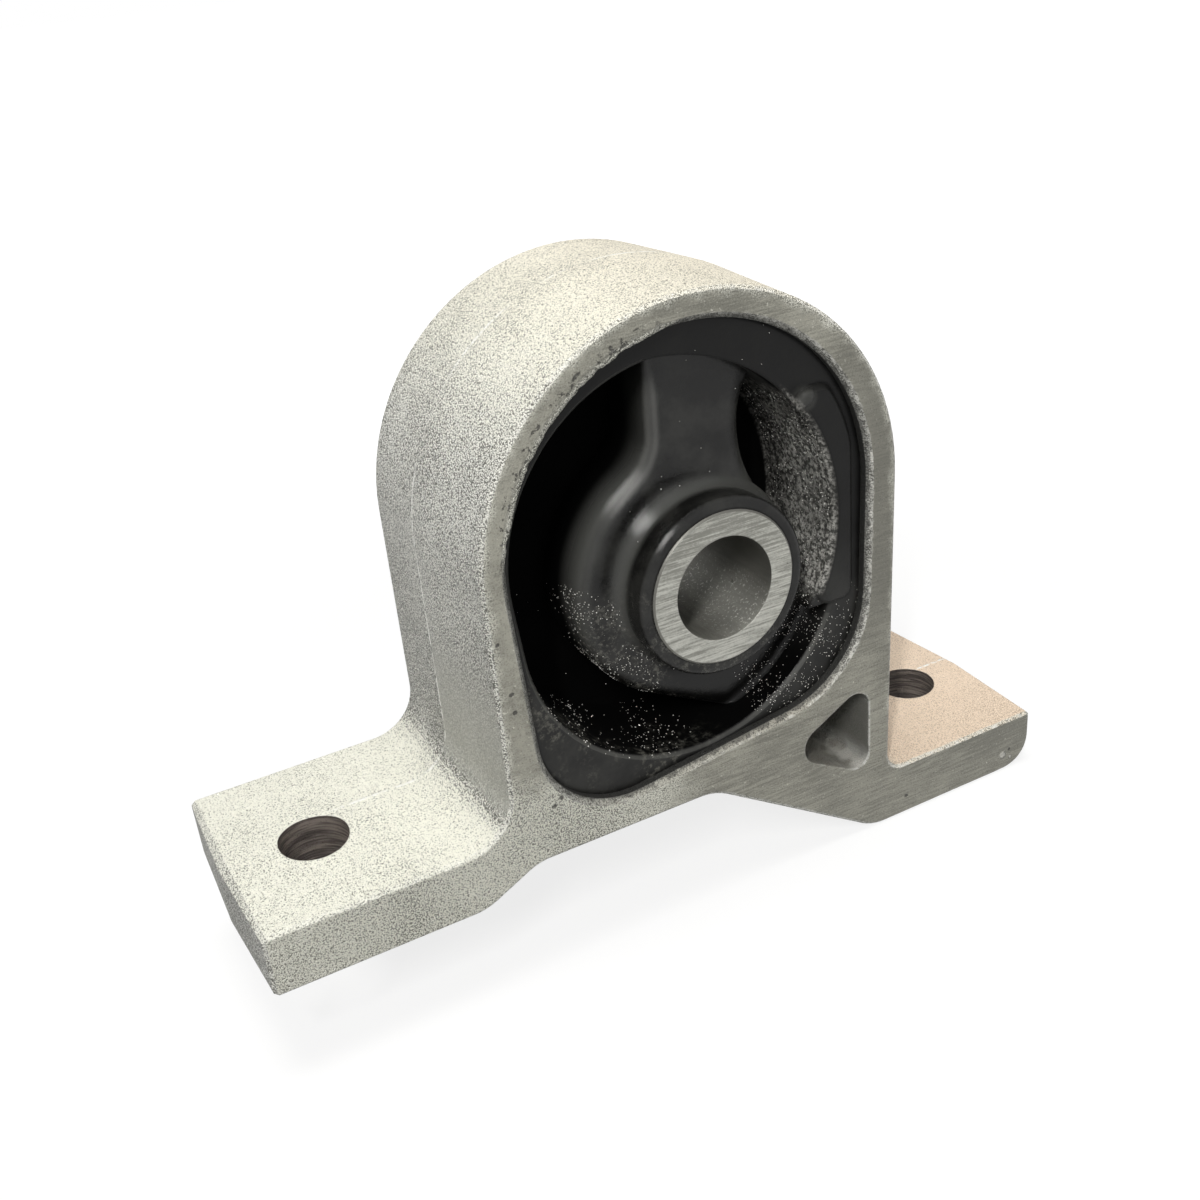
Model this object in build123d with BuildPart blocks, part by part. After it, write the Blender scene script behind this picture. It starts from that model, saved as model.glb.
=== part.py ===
from build123d import *
from math import acos, atan2, cos, degrees, radians, sin, tan
import os

# Engine mount: a cast aluminium bracket with a ring and two feet, a bonded rubber bushing and a steel sleeve.
# Millimetres. The sleeve's bore runs along Y, X runs along the feet and Z is up.
# The origin is on the axis of the sleeve's bore, halfway through the casting.

# Casting: every outside face leans by the draft angle from the parting plane to the front and back
half_depth = 20.5
draft_angle = 2.4
edge_chamfer = 0.5

# Ring head, whose right side leans inwards below the arch
ring_centre_x = -3.15
ring_centre_z = 10.5
ring_radius = 36.0
ring_side_lean = 1.1

# Feet, which bolt down at two levels
foot_thickness = 10.7
left_foot_end_x = -78.7
left_foot_top_z = -30.2
left_foot_root_round = 8.0
right_foot_end_x = 64.9
right_foot_top_z = -46.1
right_foot_root_round = 3.2
right_foot_toe_round = 5.8
foot_tip_chamfer = 0.7

# Underside between the feet: a raised floor with a ramp down to each foot
raised_floor_z = -36.1
left_ramp_foot_x = -45.2
left_ramp_top_x = -35.8
left_ramp_round = 8.0
right_ramp_top_x = -3.7
right_ramp_foot_x = 28.5
right_ramp_round = 9.5

# Bolt holes in the feet
bolt_hole_radius = 5.5
left_bolt_x = -65.0
left_bolt_y = -2.4
right_bolt_x = 52.3
right_bolt_y = 0.0

# Three-cornered window under the right side of the ring, with the round of each corner
window_corners = [((27.4, -25.7), 3.0), ((27.4, -44.6), 2.5), ((10.1, -35.0), 3.6)]

# Bore of the ring: a belt pulled tight round three circles, each a centre and a radius
bore_circles = [((-3.8, 10.8), 31.2), ((-18.4, -15.5), 14.9), ((8.7, -8.6), 18.2)]
bore_chamfer = 0.9

# Inner sleeve, as long as the casting is deep
sleeve_outer_radius = 12.6
sleeve_bore_radius = 8.5
sleeve_chamfer = 0.3

# Rubber lining on the bore, and the cavity inside it, a belt round two equal circles at its lips
lining_recess = 2.2
cavity_centres = [(-5.7, 9.5), (-4.8, 0.4)]
cavity_radius = 28.1
cavity_draft = 4.0
lip_chamfer = 0.6

# Membrane that closes the hollows round the web halfway through the casting
membrane_thickness = 3.0

# Stop on the right of the cavity, which the hub meets under load, and the raised pad on its ends
stop_centre_x = -9.9
stop_centre_z = 6.3
stop_face_radius = 31.3
stop_bottom_z = -9.9
pad_right_x = 25.2
pad_height = 37.4
pad_rise = 1.2
pad_inset = 1.6
pad_corner_round = 2.4
pad_shoulder_round = 12.0
pad_edge_chamfer = 0.8

# Rubber web, set back from the faces: a top leg, a hub that bulges to the left and a lower leg
web_setback = 6.8
web_edge_round = 2.6
web_bite = 0.6
leg_left_x = -7.7
leg_right_x = 8.8
leg_flare_angle = 40.0
leg_flare_land = 0.5
leg_flare_round = 14.0
hub_left_radius = 21.5
left_leg_root_round = 8.4
right_leg_root_round = 20.0
lower_leg_tangent_angle = -118.0
lower_leg_right_angle = -26.0
lower_leg_right_end = (25.5, -13.8)

# Rubber collar round the sleeve, which stands out of the web
collar_radius = 14.6
collar_setback = 0.3
collar_edge_chamfer = 0.5
collar_root_flare = 1.4

# Values worked out from the driving ones
left_foot_bottom_z = left_foot_top_z - foot_thickness
right_foot_bottom_z = right_foot_top_z - foot_thickness
foot_span = right_foot_end_x - left_foot_end_x
ring_left_x = ring_centre_x - ring_radius
side_top_x = ring_centre_x + ring_radius * cos(radians(ring_side_lean))
side_top_z = ring_centre_z - ring_radius * sin(radians(ring_side_lean))
side_foot_x = side_top_x - (side_top_z - right_foot_top_z) * tan(radians(ring_side_lean))
lining_half_depth = half_depth - lining_recess
web_half_depth = half_depth - web_setback
collar_half_depth = half_depth - collar_setback
hub_right_radius = collar_radius + collar_root_flare
right_root_reach = hub_right_radius + right_leg_root_round
right_root_end_z = (right_root_reach**2 - (leg_right_x + right_leg_root_round) ** 2) ** 0.5
leg_flare_corner_z = right_root_end_z + leg_flare_land + leg_flare_round * tan(radians(leg_flare_angle / 2))
cavity_waist_radius = cavity_radius - lining_half_depth * tan(radians(cavity_draft))


def polar(radius, angle):
    """Point at this radius and angle in degrees from the local origin."""
    return Vector(radius * cos(radians(angle)), radius * sin(radians(angle)))


def belt(circles, inset=0.0):
    """Face inside a belt pulled tight round the circles, which are listed anticlockwise."""
    following = circles[1:] + circles[:1]
    bearings = []
    for (centre, radius), (next_centre, next_radius) in zip(circles, following):
        span = Vector(next_centre) - Vector(centre)
        heading = degrees(atan2(span.Y, span.X))
        bearings.append(heading - degrees(acos((radius - next_radius) / span.length)))
    with BuildSketch() as band:
        with BuildLine():
            for index, ((centre, radius), (next_centre, next_radius)) in enumerate(zip(circles, following)):
                arrival = bearings[index - 1]
                departure = bearings[index]
                CenterArc(centre, radius - inset, arrival, (departure - arrival) % 360)
                tangent_start = Vector(centre) + polar(radius - inset, departure)
                tangent_end = Vector(next_centre) + polar(next_radius - inset, departure)
                Line(tangent_start, tangent_end)
        make_face()
    return band.sketch


def round_corners(sketch, corners):
    """Round the sketch's corner nearest to each listed point by the radius listed with it."""
    for corner, radius in corners:
        fillet(sketch.vertices().sort_by_distance(Vector(*corner))[0], radius)


# Bracket: the front half is drafted from its face to the parting plane, and mirrored to make the back half
front_plane = Plane.XZ.offset(half_depth)
with BuildPart() as bracket:
    with BuildSketch(front_plane) as outline:
        right_root = (side_foot_x, right_foot_top_z)
        right_tip = (right_foot_end_x, right_foot_top_z)
        right_toe = (right_foot_end_x, right_foot_bottom_z)
        right_ramp_foot = (right_ramp_foot_x, right_foot_bottom_z)
        right_ramp_top = (right_ramp_top_x, raised_floor_z)
        left_ramp_top = (left_ramp_top_x, raised_floor_z)
        left_ramp_foot = (left_ramp_foot_x, left_foot_bottom_z)
        left_toe = (left_foot_end_x, left_foot_bottom_z)
        left_tip = (left_foot_end_x, left_foot_top_z)
        left_root = (ring_left_x, left_foot_top_z)
        arch_left = (ring_left_x, ring_centre_z)
        arch_top = (ring_centre_x, ring_centre_z + ring_radius)
        arch_right = (side_top_x, side_top_z)
        with BuildLine():
            Polyline(arch_right, right_root, right_tip, right_toe, right_ramp_foot, right_ramp_top)
            Polyline(right_ramp_top, left_ramp_top, left_ramp_foot, left_toe, left_tip, left_root, arch_left)
            ThreePointArc(arch_left, arch_top, arch_right)
        make_face()
        outline_rounds = [
            (right_root, right_foot_root_round),
            (right_toe, right_foot_toe_round),
            (right_ramp_foot, right_ramp_round),
            (right_ramp_top, right_ramp_round),
            (left_ramp_top, left_ramp_round),
            (left_ramp_foot, left_ramp_round),
            (left_root, left_foot_root_round),
        ]
        round_corners(outline, outline_rounds)
        for tip in (right_tip, left_toe, left_tip):
            chamfer(outline.vertices().sort_by_distance(Vector(*tip))[0], foot_tip_chamfer)
    extrude(amount=-half_depth, taper=-draft_angle)
    chamfer(bracket.faces().sort_by(Axis.Y)[0].edges(), edge_chamfer)
    with BuildSketch(front_plane) as window:
        Polygon(*[corner for corner, corner_round in window_corners], align=None)
        round_corners(window, window_corners)
    extrude(amount=-half_depth, taper=draft_angle, mode=Mode.SUBTRACT)
    mirror(about=Plane.XZ)
    # Bore, with its rims chamfered on both faces
    with BuildSketch(front_plane):
        add(belt(bore_circles))
    extrude(amount=-2 * half_depth, mode=Mode.SUBTRACT)
    for rim_plane in (front_plane, Plane.XZ.offset(-half_depth)):
        toward_middle = -bore_chamfer if rim_plane.origin.Y < 0 else bore_chamfer
        with BuildSketch(rim_plane):
            add(belt(bore_circles, -bore_chamfer))
        extrude(amount=toward_middle, taper=45, mode=Mode.SUBTRACT)
    # Machined seats: the foot undersides are cut flat
    with BuildSketch(Plane.XZ):
        with Locations((left_ramp_top_x, left_foot_bottom_z)):
            Rectangle(foot_span, foot_thickness, align=(Align.MAX, Align.MAX))
        with Locations((left_ramp_top_x, right_foot_bottom_z)):
            Rectangle(foot_span, foot_thickness, align=(Align.MIN, Align.MAX))
    extrude(amount=half_depth, both=True, mode=Mode.SUBTRACT)
    with Locations((left_bolt_x, left_bolt_y), (right_bolt_x, right_bolt_y)):
        Hole(bolt_hole_radius)
bracket.part.label = "bracket"

# Web of the bushing: top leg, hub and lower leg as one outline, with every edge of its two faces rounded
with BuildPart() as web:
    with BuildSketch(Plane.XZ) as web_outline:
        Circle(hub_left_radius)
        Rectangle(hub_left_radius, 2 * hub_left_radius, align=(Align.MIN, Align.CENTER), mode=Mode.SUBTRACT)
        Circle(hub_right_radius)
        flare_corner = (leg_right_x, leg_flare_corner_z)
        flare_end = Vector(flare_corner) + polar(ring_radius, 90 - leg_flare_angle)
        Polygon(
            (leg_left_x, 0),
            (leg_right_x, 0),
            flare_corner,
            flare_end,
            (leg_left_x, flare_end.Y),
            align=None,
        )
        tangent_point = polar(hub_left_radius, lower_leg_tangent_angle)
        tangent_run = polar(ring_radius, lower_leg_tangent_angle + 90)
        right_start = polar(hub_right_radius, lower_leg_right_angle)
        Polygon(
            (0, 0),
            tangent_point,
            tangent_point + tangent_run,
            lower_leg_right_end,
            right_start,
            align=None,
        )
        left_root_z = (hub_left_radius**2 - leg_left_x**2) ** 0.5
        right_root_z = (hub_right_radius**2 - leg_right_x**2) ** 0.5
        web_rounds = [
            ((leg_left_x, left_root_z), left_leg_root_round),
            ((leg_right_x, right_root_z), right_leg_root_round),
            (flare_corner, leg_flare_round),
        ]
        round_corners(web_outline, web_rounds)
    extrude(amount=web_half_depth, both=True)
    fillet(web.faces().filter_by(Axis.Y).edges(), web_edge_round)
    with BuildSketch(Plane.XZ):
        add(belt(bore_circles, web_bite))
    extrude(amount=half_depth, both=True, mode=Mode.INTERSECT)

# Collar: one turned section, which flares at its root to the hub's right side
with BuildPart() as collar:
    with BuildSketch(Plane.XY):
        Polygon(
            (sleeve_outer_radius, 0),
            (hub_right_radius, 0),
            (hub_right_radius, web_half_depth),
            (collar_radius, web_half_depth + collar_root_flare),
            (collar_radius, collar_half_depth - collar_edge_chamfer),
            (collar_radius - collar_edge_chamfer, collar_half_depth),
            (sleeve_outer_radius, collar_half_depth),
            align=None,
        )
    revolve(axis=Axis.Y)
    mirror(about=Plane.XZ)

# Pad of the stop, raised above the lining's face and rounded along all its edges
with BuildPart() as pad:
    with BuildSketch(Plane.XZ) as pad_outline:
        add(belt(bore_circles, pad_inset))
        with Locations((stop_centre_x, stop_centre_z)):
            Circle(stop_face_radius, mode=Mode.SUBTRACT)
        with Locations((stop_centre_x, stop_bottom_z)):
            Rectangle(pad_right_x - stop_centre_x, pad_height, align=(Align.MIN, Align.MIN), mode=Mode.INTERSECT)
        pad_ends = pad_outline.vertices().group_by(Axis.Y)
        fillet(pad_ends[0] + pad_ends[-1], pad_corner_round)
        fillet(pad_outline.vertices().group_by(Axis.X)[-1].sort_by(Axis.Y)[-1], pad_shoulder_round)
    extrude(amount=lining_half_depth + pad_rise, both=True)
    chamfer(pad.faces().filter_by(Axis.Y).edges(), pad_edge_chamfer)

# Rubber bushing: a lining that fills the bore round a cavity, with the membrane, stop, pad, web and collar
with BuildPart() as rubber_bushing:
    with BuildSketch(Plane.XZ):
        add(belt(bore_circles))
    extrude(amount=lining_half_depth, both=True)
    with BuildSketch(Plane.XZ):
        add(belt([(centre, cavity_waist_radius) for centre in cavity_centres]))
    extrude(amount=half_depth, both=True, taper=-cavity_draft, mode=Mode.SUBTRACT)
    for lining_face in rubber_bushing.faces().filter_by(Axis.Y):
        chamfer(lining_face.inner_wires()[0].edges(), lip_chamfer)
    with BuildSketch(Plane.XZ):
        add(belt(bore_circles))
    extrude(amount=membrane_thickness / 2, both=True)
    with BuildSketch(Plane.XZ):
        add(belt(bore_circles))
        with Locations((stop_centre_x, stop_centre_z)):
            Circle(stop_face_radius, mode=Mode.SUBTRACT)
        with Locations((stop_centre_x, stop_bottom_z)):
            Rectangle(foot_span, foot_span, align=(Align.MIN, Align.MIN), mode=Mode.INTERSECT)
    extrude(amount=lining_half_depth, both=True)
    add(pad.part)
    add(web.part)
    add(collar.part)
    with BuildSketch(Plane.XZ):
        Circle(sleeve_outer_radius)
    extrude(amount=half_depth, both=True, mode=Mode.SUBTRACT)
rubber_bushing.part.label = "rubber_bushing"

# Inner sleeve: a plain tube with its outer rims broken
with BuildPart() as inner_sleeve:
    with BuildSketch(Plane.XZ):
        Circle(sleeve_outer_radius)
        Circle(sleeve_bore_radius, mode=Mode.SUBTRACT)
    extrude(amount=half_depth, both=True)
    outer_rims = inner_sleeve.edges().filter_by(GeomType.CIRCLE).sort_by(lambda rim: rim.radius)[-2:]
    chamfer(outer_rims, sleeve_chamfer)
inner_sleeve.part.label = "inner_sleeve"

os.makedirs("parts", exist_ok=True)
export_step(bracket.part, "parts/bracket.step")
export_step(rubber_bushing.part, "parts/rubber_bushing.step")
export_step(inner_sleeve.part, "parts/inner_sleeve.step")
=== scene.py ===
"""Looks of a cast aluminium engine mount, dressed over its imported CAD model.

The bracket, the rubber bushing and the inner sleeve keep their CAD shapes and get procedural finishes.
Loose dust, a burr along the bore's rim and a nib on the rubber are small pieces of their own.
The frame is in metres, with its origin on the axis of the sleeve's bore, halfway through the casting.
Finishes and pieces are laid out in millimetres: X runs along the feet, Y to the back and Z up.
"""

import logging
import math
from dataclasses import dataclass, field
from enum import Enum
from functools import cached_property, reduce

import bmesh
import bpy
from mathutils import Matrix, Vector, noise


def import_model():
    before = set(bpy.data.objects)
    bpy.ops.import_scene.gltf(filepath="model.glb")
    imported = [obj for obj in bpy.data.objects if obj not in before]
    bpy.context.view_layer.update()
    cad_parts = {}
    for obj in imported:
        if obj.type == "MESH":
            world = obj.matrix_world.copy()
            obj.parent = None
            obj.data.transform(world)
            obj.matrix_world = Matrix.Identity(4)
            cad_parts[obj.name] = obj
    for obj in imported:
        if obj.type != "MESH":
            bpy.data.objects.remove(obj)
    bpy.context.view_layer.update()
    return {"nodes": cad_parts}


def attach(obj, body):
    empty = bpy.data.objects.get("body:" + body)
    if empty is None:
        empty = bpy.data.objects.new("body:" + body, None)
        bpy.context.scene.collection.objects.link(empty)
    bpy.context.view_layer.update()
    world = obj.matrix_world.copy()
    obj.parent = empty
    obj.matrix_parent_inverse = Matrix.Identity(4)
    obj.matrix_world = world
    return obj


LOG = logging.getLogger("engine_mount")

MM = 0.001
PHOTO_PIXELS = 1200
WHITE = (1.0, 1.0, 1.0)
SEEING_RAYS = ("Is Camera Ray", "Is Glossy Ray", "Is Transmission Ray")

Colour = tuple[float, float, float]
Pair = tuple[float, float]
Triple = tuple[float, float, float]


class Blend(Enum):
    """Ways in which one colour is laid over another."""

    MIX = "MIX"
    MULTIPLY = "MULTIPLY"


class Maths(Enum):
    """Sums that a maths node can do."""

    ADD = "ADD"
    SUBTRACT = "SUBTRACT"
    MULTIPLY = "MULTIPLY"
    POWER = "POWER"
    SQRT = "SQRT"
    ABSOLUTE = "ABSOLUTE"
    MAXIMUM = "MAXIMUM"
    GREATER_THAN = "GREATER_THAN"
    LESS_THAN = "LESS_THAN"


class Side(Enum):
    """Side of the casting, by the sign of its Y."""

    FRONT = -1.0
    BACK = 1.0


@dataclass(frozen=True)
class Value:
    """A node's output in a material, with the usual signs for sums and short names for masks."""

    tree: bpy.types.NodeTree
    socket: bpy.types.NodeSocket

    def maths(self, step: Maths, first: object, second: object = 0.0) -> "Value":
        """Combine two values in a maths node.

        Args:
            step: What the node does.
            first: First value or number.
            second: Second value or number.

        Returns:
            The result.
        """
        node = self.tree.nodes.new("ShaderNodeMath")
        node.operation = step.value
        fill(self.tree, node.inputs[0], first)
        fill(self.tree, node.inputs[1], second)
        return Value(self.tree, node.outputs[0])

    def __add__(self, other: object) -> "Value":
        """Add a value or a number."""
        return self.maths(Maths.ADD, self, other)

    def __sub__(self, other: object) -> "Value":
        """Take away a value or a number."""
        return self.maths(Maths.SUBTRACT, self, other)

    def __rsub__(self, other: float) -> "Value":
        """Take this away from a number."""
        return self.maths(Maths.SUBTRACT, other, self)

    def __mul__(self, other: object) -> "Value":
        """Multiply by a value or a number."""
        return self.maths(Maths.MULTIPLY, self, other)

    def __pow__(self, power: float) -> "Value":
        """Raise to a power."""
        return self.maths(Maths.POWER, self, power)

    def __abs__(self) -> "Value":
        """Drop the sign."""
        return self.maths(Maths.ABSOLUTE, self)

    def most(self, other: object) -> "Value":
        """Return the larger of two."""
        return self.maths(Maths.MAXIMUM, self, other)

    def above(self, limit: object) -> "Value":
        """Return one above a limit and zero elsewhere."""
        return self.maths(Maths.GREATER_THAN, self, limit)

    def below(self, limit: object) -> "Value":
        """Return one below a limit and zero elsewhere."""
        return self.maths(Maths.LESS_THAN, self, limit)

    def clamped(self) -> "Value":
        """Keep the result of the last sum between zero and one."""
        self.socket.node.use_clamp = True
        return self

    def split(self) -> tuple["Value", ...]:
        """Return the three components of a vector or a colour.

        Returns:
            The three components.
        """
        node = self.tree.nodes.new("ShaderNodeSeparateXYZ")
        fill(self.tree, node.inputs[0], self)
        return tuple(Value(self.tree, output) for output in node.outputs)

    def fade(self, start: float, end: float) -> "Value":
        """Return a smooth step that is zero at start and one at end.

        Args:
            start: Value at which it is zero.
            end: Value at which it is one.

        Returns:
            A value from zero to one.
        """
        node = self.tree.nodes.new("ShaderNodeMapRange")
        node.interpolation_type = "SMOOTHSTEP"
        node.inputs["From Min"].default_value = start
        node.inputs["From Max"].default_value = end
        fill(self.tree, node.inputs["Value"], self)
        return Value(self.tree, node.outputs["Result"])

    def spread(self, low: float, high: float) -> "Value":
        """Lay out a value from zero to one between low and high.

        Args:
            low: Result at zero.
            high: Result at one.

        Returns:
            The value between the two.
        """
        node = self.tree.nodes.new("ShaderNodeMapRange")
        node.inputs["To Min"].default_value = low
        node.inputs["To Max"].default_value = high
        fill(self.tree, node.inputs["Value"], self)
        return Value(self.tree, node.outputs["Result"])


def shade(colour: Colour, share: float) -> Colour:
    """Return a darker shade of a colour."""
    return tuple(share * part for part in colour)


def fill(tree: bpy.types.NodeTree, socket: bpy.types.NodeSocket, content: object) -> None:
    """Give an input socket a link or a constant.

    Args:
        tree: Tree that the socket is in.
        socket: Input socket to fill.
        content: A value, an output socket, a number or a colour.
    """
    if isinstance(content, Value):
        tree.links.new(content.socket, socket)
    elif isinstance(content, bpy.types.NodeSocket):
        tree.links.new(content, socket)
    elif isinstance(content, tuple) and len(content) < len(socket.default_value):
        socket.default_value = (*content, 1.0)
    else:
        socket.default_value = content


@dataclass
class NodeMaterial:
    """A material under construction, with short calls for the nodes that the finishes share."""

    name: str
    material: bpy.types.Material = field(init=False)
    tree: bpy.types.NodeTree = field(init=False)
    shader: bpy.types.ShaderNode = field(init=False)

    def __post_init__(self) -> None:
        """Create an empty material with one principled shader on its output."""
        self.material = bpy.data.materials.new(self.name)
        self.material.use_nodes = True
        self.tree = self.material.node_tree
        self.tree.nodes.clear()
        output = self.tree.nodes.new("ShaderNodeOutputMaterial")
        self.shader = self.tree.nodes.new("ShaderNodeBsdfPrincipled")
        self.tree.links.new(self.shader.outputs["BSDF"], output.inputs["Surface"])

    def put(self, name: str, content: object) -> None:
        """Fill one of the shader's inputs with a value, a number or a colour."""
        fill(self.tree, self.shader.inputs[name], content)

    def outlet(self, kind: str, name: str) -> Value:
        """Add a node that needs no inputs and return one of its outputs."""
        return Value(self.tree, self.tree.nodes.new(kind).outputs[name])

    @cached_property
    def place(self) -> Value:
        """Object position of the shaded point, in metres."""
        return self.outlet("ShaderNodeTexCoord", "Object")

    @cached_property
    def xyz(self) -> tuple[Value, ...]:
        """Coordinates of the shaded point, in millimetres."""
        return tuple(part * (1.0 / MM) for part in self.place.split())

    @cached_property
    def depth(self) -> Value:
        """Distance from the middle of the casting's depth, in millimetres."""
        return abs(self.xyz[1])

    @cached_property
    def axis_reach(self) -> Value:
        """Distance from the axis of the sleeve's bore, in millimetres."""
        return self.reach(self.xyz[0], self.xyz[2])

    @cached_property
    def normal(self) -> Value:
        """The surface's own normal, before any bump."""
        return self.outlet("ShaderNodeNewGeometry", "True Normal")

    @cached_property
    def facing(self) -> tuple[Value, ...]:
        """Components of the surface's own normal."""
        return self.normal.split()

    @cached_property
    def flat(self) -> Value:
        """How straight the surface looks to the front or the back, from zero to one."""
        return abs(self.facing[1])

    def stretched(self, scale: Triple, turn: float) -> Value:
        """Return the position scaled along each axis, after a turn about Y.

        Args:
            scale: Factor along each axis.
            turn: Turn about Y in degrees.

        Returns:
            The changed position.
        """
        node = self.tree.nodes.new("ShaderNodeMapping")
        node.vector_type = "POINT"
        fill(self.tree, node.inputs["Vector"], self.place)
        node.inputs["Rotation"].default_value = (0.0, math.radians(turn), 0.0)
        node.inputs["Scale"].default_value = scale
        return Value(self.tree, node.outputs["Vector"])

    def noise(
        self,
        size: float,
        detail: float = 3.0,
        roughness: float = 0.55,
        stretch: Triple | None = None,
        turn: float = 0.0,
    ) -> Value:
        """Add fractal noise.

        Args:
            size: Width of its largest features in millimetres.
            detail: Number of finer octaves.
            roughness: Weight of the finer octaves.
            stretch: Scale of the position along each axis; a small one draws the features out.
            turn: Turn of the stretched features about Y, in degrees.

        Returns:
            A value around one half.
        """
        node = self.tree.nodes.new("ShaderNodeTexNoise")
        fill(self.tree, node.inputs["Vector"], self.stretched(stretch, turn) if stretch else self.place)
        node.inputs["Scale"].default_value = 1.0 / (size * MM)
        node.inputs["Detail"].default_value = detail
        node.inputs["Roughness"].default_value = roughness
        return Value(self.tree, node.outputs["Fac"])

    def cells(self, size: float, stretch: Triple | None = None, turn: float = 0.0) -> tuple[Value, Value]:
        """Add a pattern of random cells.

        Args:
            size: Width of a cell in millimetres.
            stretch: Scale of the position along each axis; a small one draws the cells out.
            turn: Turn of the stretched cells about Y, in degrees.

        Returns:
            The distance from the cell's centre, and a random number for each cell.
        """
        node = self.tree.nodes.new("ShaderNodeTexVoronoi")
        fill(self.tree, node.inputs["Vector"], self.stretched(stretch, turn) if stretch else self.place)
        node.inputs["Scale"].default_value = 1.0 / (size * MM)
        chance = Value(self.tree, node.outputs["Color"]).split()[0]
        return Value(self.tree, node.outputs["Distance"]), chance

    def reach(self, first: Value, second: Value, centre: Pair = (0.0, 0.0)) -> Value:
        """Return the distance of two coordinates from a centre."""
        squares = (first - centre[0]) ** 2.0 + (second - centre[1]) ** 2.0
        return squares.maths(Maths.SQRT, squares)

    def layer(self, amount: object, under: object, over: object, blend: Blend = Blend.MIX) -> Value:
        """Lay one colour over another.

        Args:
            amount: How much of the upper colour shows.
            under: Lower colour.
            over: Upper colour.
            blend: How the two are combined.

        Returns:
            The combined colour.
        """
        node = self.tree.nodes.new("ShaderNodeMix")
        node.data_type = "RGBA"
        node.blend_type = blend.value
        fill(self.tree, node.inputs["Factor"], amount)
        fill(self.tree, node.inputs["A"], under)
        fill(self.tree, node.inputs["B"], over)
        return Value(self.tree, node.outputs["Result"])

    def rolled(self, radius: object) -> Value:
        """Return a normal that rolls over the edges.

        Args:
            radius: Radius in metres, a number or a value.

        Returns:
            The rolled normal.
        """
        node = self.tree.nodes.new("ShaderNodeBevel")
        node.samples = 4
        fill(self.tree, node.inputs["Radius"], radius)
        return Value(self.tree, node.outputs["Normal"])

    def edge_mask(self, rolled: Value, start: float, end: float) -> Value:
        """Return a mask of the places where the surface turns sharply.

        Args:
            rolled: Normal that rolls over the edges.
            start: Turn, as one minus the cosine, at which the mask begins.
            end: Turn at which it is full.

        Returns:
            A value that is one along the edges.
        """
        product = self.tree.nodes.new("ShaderNodeVectorMath")
        product.operation = "DOT_PRODUCT"
        fill(self.tree, product.inputs[0], self.normal)
        fill(self.tree, product.inputs[1], rolled)
        return (1.0 - Value(self.tree, product.outputs["Value"])).fade(start, end)

    def bump(self, height: Value, depth: float, normal: Value) -> Value:
        """Raise a height pattern on the surface.

        Args:
            height: Height from zero to one.
            depth: Height of one, in millimetres.
            normal: Normal that it adds to.

        Returns:
            The bumped normal.
        """
        node = self.tree.nodes.new("ShaderNodeBump")
        node.inputs["Distance"].default_value = depth * MM
        node.inputs["Strength"].default_value = 1.0
        fill(self.tree, node.inputs["Height"], height)
        fill(self.tree, node.inputs["Normal"], normal)
        return Value(self.tree, node.outputs["Normal"])


@dataclass(frozen=True)
class Patch:
    """Place on the object whose mask fades in between two distances in millimetres, along each that it names.

    X, Y and Z are coordinates. Depth is the distance from the middle of the casting's depth, and reach the
    distance from the axis of the sleeve's bore.
    """

    x: Pair | None = None
    y: Pair | None = None
    z: Pair | None = None
    depth: Pair | None = None
    reach: Pair | None = None

    def mask(self, mat: NodeMaterial) -> Value:
        """Return the patch as a mask.

        Args:
            mat: Material that the mask is for.

        Returns:
            A value that is one inside the patch.
        """
        x, y, z = mat.xyz
        spans = ((x, self.x), (y, self.y), (z, self.z), (mat.depth, self.depth), (mat.axis_reach, self.reach))
        return reduce(Value.__mul__, [where.fade(*span) for where, span in spans if span])


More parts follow.
